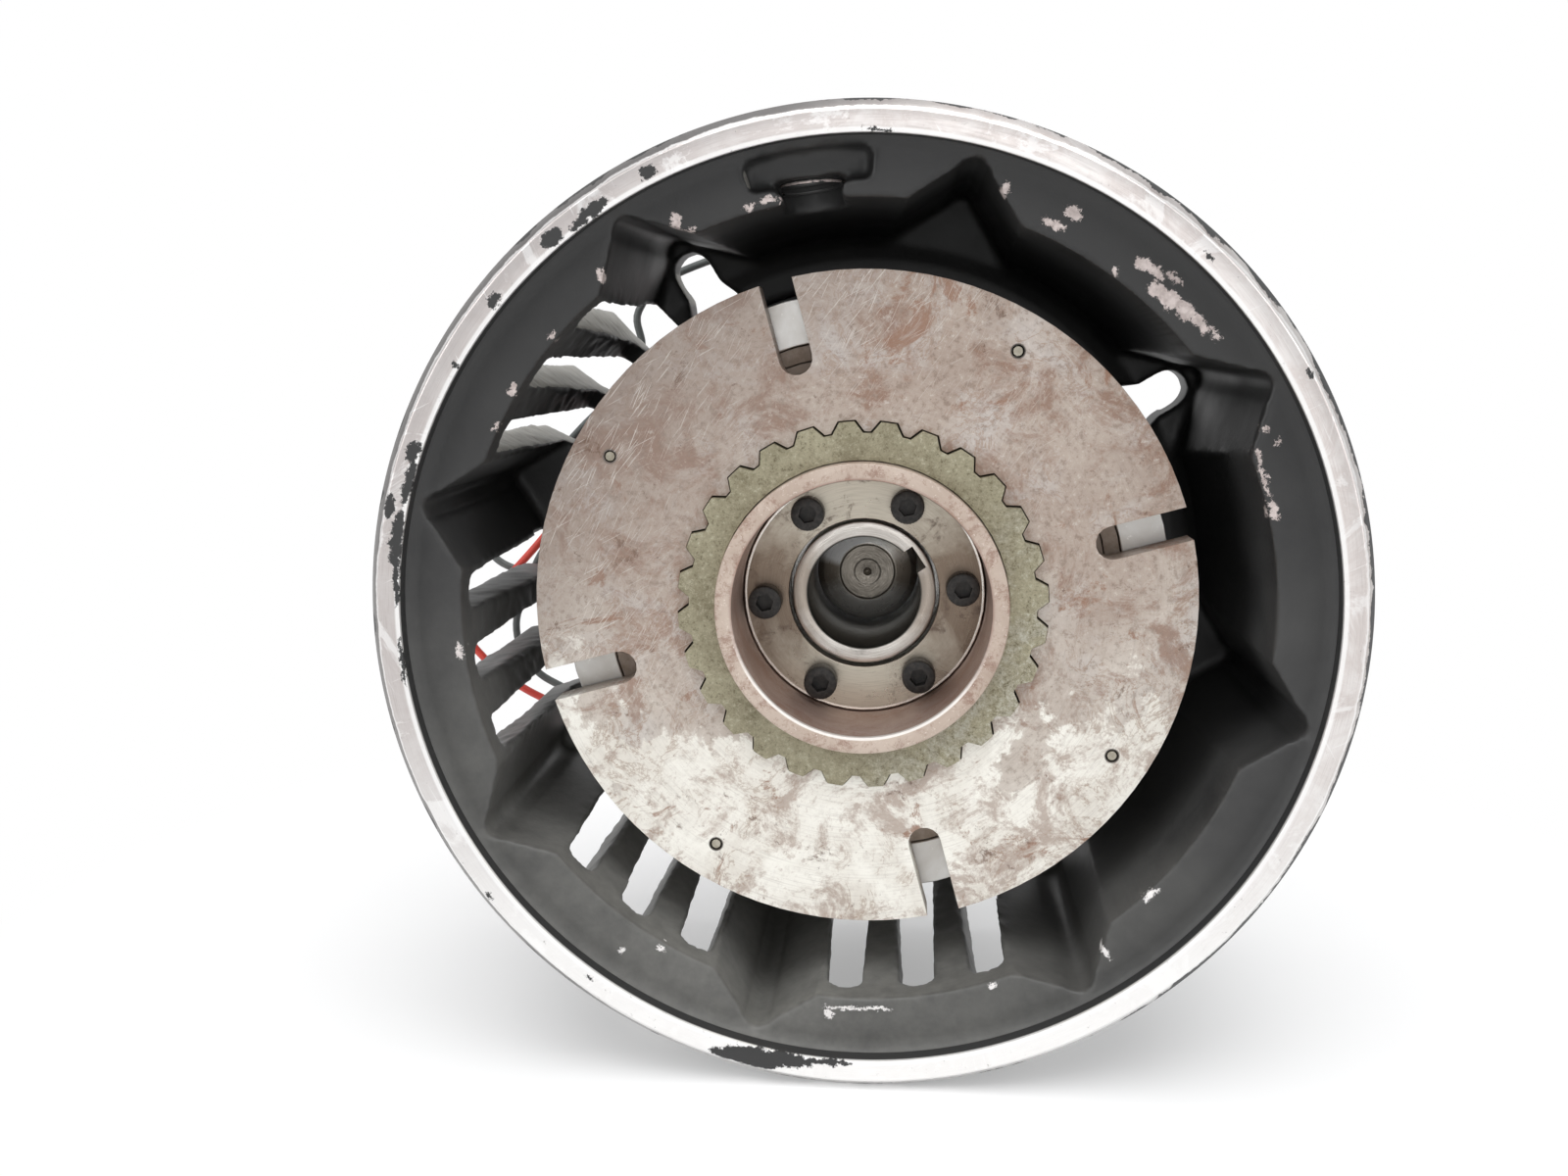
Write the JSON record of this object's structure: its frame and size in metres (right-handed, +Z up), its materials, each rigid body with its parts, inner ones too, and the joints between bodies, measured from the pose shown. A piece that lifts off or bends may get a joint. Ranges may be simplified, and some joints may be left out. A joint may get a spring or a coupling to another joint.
{
  "type": "electromagnetic clutch",
  "caption": "Electromagnetic clutch in a vented cast C-face housing: slotted armature disc on a splined hub, rotor and fixed field behind it, keyed bore in front and a stub shaft behind.",
  "frame": {"origin": "on the shaft axis, in the plane of the rear mounting face", "axes": "+Y runs rearwards along the shaft out of the rear face, +Z up, +X to the right seen from the open front"},
  "size_m": [0.2434, 0.1707, 0.2314],
  "materials": {
    "cast_black": "cast aluminium in satin black paint, chipped, with the machined rim bare",
    "dark_steel": "dark oiled steel",
    "potting": "potted coil, dark resin",
    "black_rubber": "matte rubber",
    "red_insulation": "red wire insulation",
    "grey_insulation": "grey wire insulation",
    "race_steel": "ground bearing steel",
    "bright_steel": "turned steel",
    "worn_steel": "steel with light rust and scratches",
    "facing": "dark friction facing",
    "olive_plate": "olive plated steel, grainy",
    "stained_steel": "steel stained brown by oil",
    "black_oxide": "black oxide"
  },
  "bodies": {
    "housing": {"housing": "cast_black", "rear_wall": "cast_black", "field_shell": "dark_steel", "field_coil": "potting", "field_screw_1": "black_oxide", "field_screw_2": "black_oxide", "field_screw_3": "black_oxide", "field_screw_4": "black_oxide", "rear_bearing_outer": "race_steel", "rear_snap_ring": "dark_steel", "lead_grommet": "black_rubber", "red_lead": "red_insulation", "grey_lead": "grey_insulation"},
    "rotor": {"rotor": "worn_steel", "friction_facing": "facing", "drive_sleeve": "bright_steel", "drive_shaft": "bright_steel", "sleeve_key": "bright_steel", "shaft_key": "bright_steel", "sleeve_snap_ring": "dark_steel", "rear_bearing_inner": "race_steel", "rear_bearing_balls": "race_steel", "hub_bearing_inner": "race_steel"},
    "hub": {"splined_hub": "olive_plate", "hub_carrier": "worn_steel", "bearing_cover": "stained_steel", "cap_screw_1": "black_oxide", "cap_screw_2": "black_oxide", "cap_screw_3": "black_oxide", "cap_screw_4": "black_oxide", "cap_screw_5": "black_oxide", "cap_screw_6": "black_oxide", "hub_bearing_outer": "race_steel", "hub_bearing_balls": "race_steel", "hub_snap_ring": "dark_steel"},
    "armature": {"armature_disc": "worn_steel", "armature_pin_1": "race_steel", "armature_pin_2": "race_steel", "armature_pin_3": "race_steel", "armature_pin_4": "race_steel"}
  },
  "joints": [
    {"name": "rotor_spin", "type": "hinge", "parent": "housing", "child": "rotor", "pos_m": [0, 0, 0], "axis": [0, 1, 0], "continuous": true},
    {"name": "hub_spin", "type": "hinge", "parent": "rotor", "child": "hub", "pos_m": [0, -0.05, 0], "axis": [0, 1, 0], "continuous": true},
    {"name": "armature_slide", "type": "slide", "parent": "hub", "child": "armature", "axis": [0, 1, 0], "range_m": [-0.0015, 0.0005]}
  ]
}
